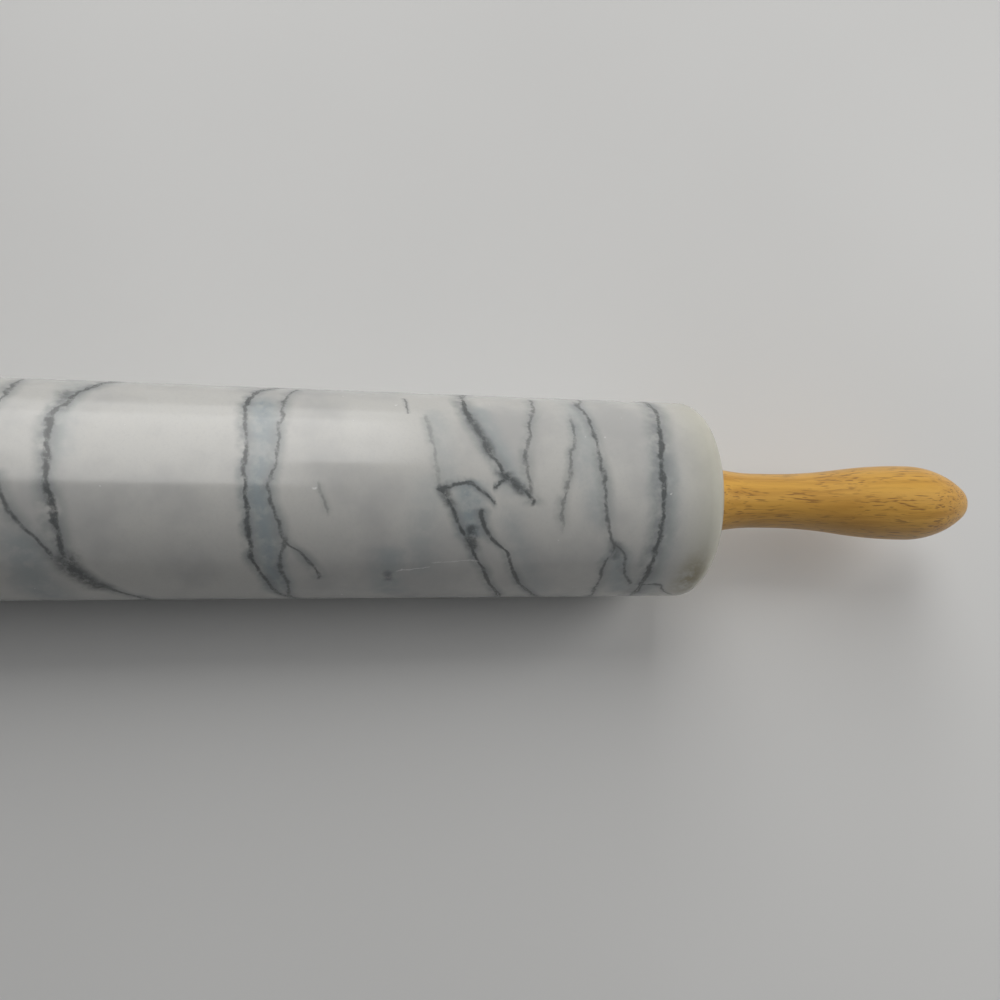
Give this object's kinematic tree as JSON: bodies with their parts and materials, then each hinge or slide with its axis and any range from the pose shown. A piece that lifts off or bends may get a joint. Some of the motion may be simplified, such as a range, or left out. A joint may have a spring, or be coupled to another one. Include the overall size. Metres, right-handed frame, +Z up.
{
  "type": "marble rolling pin",
  "caption": "Loose-barrel rolling pin: a heavy polished marble roller that spins on a steel axle between two turned wooden handles.",
  "frame": {"origin": "centre of the marble roller, on the axle's axis halfway between the handles' tips", "axes": "+X along the axle towards the right handle, +Z up, +Y away from the cook"},
  "size_m": [0.4528, 0.06, 0.06],
  "materials": {
    "marble": "polished, with dark grey veins",
    "nylon": "moulded",
    "steel": "turned",
    "brass": "turned",
    "wood": "satin lacquer"
  },
  "bodies": {
    "handles": {"axle_rod": "steel", "left_washer": "steel", "right_washer": "steel", "left_insert": "brass", "right_insert": "brass", "left_handle": "wood", "right_handle": "wood"},
    "roller": {"marble_roller": "marble", "left_bush": "nylon", "right_bush": "nylon"}
  },
  "joints": [
    {"name": "roller_spin", "type": "hinge", "parent": "handles", "child": "roller", "pos_m": [0, 0, 0], "axis": [1, 0, 0], "continuous": true}
  ]
}
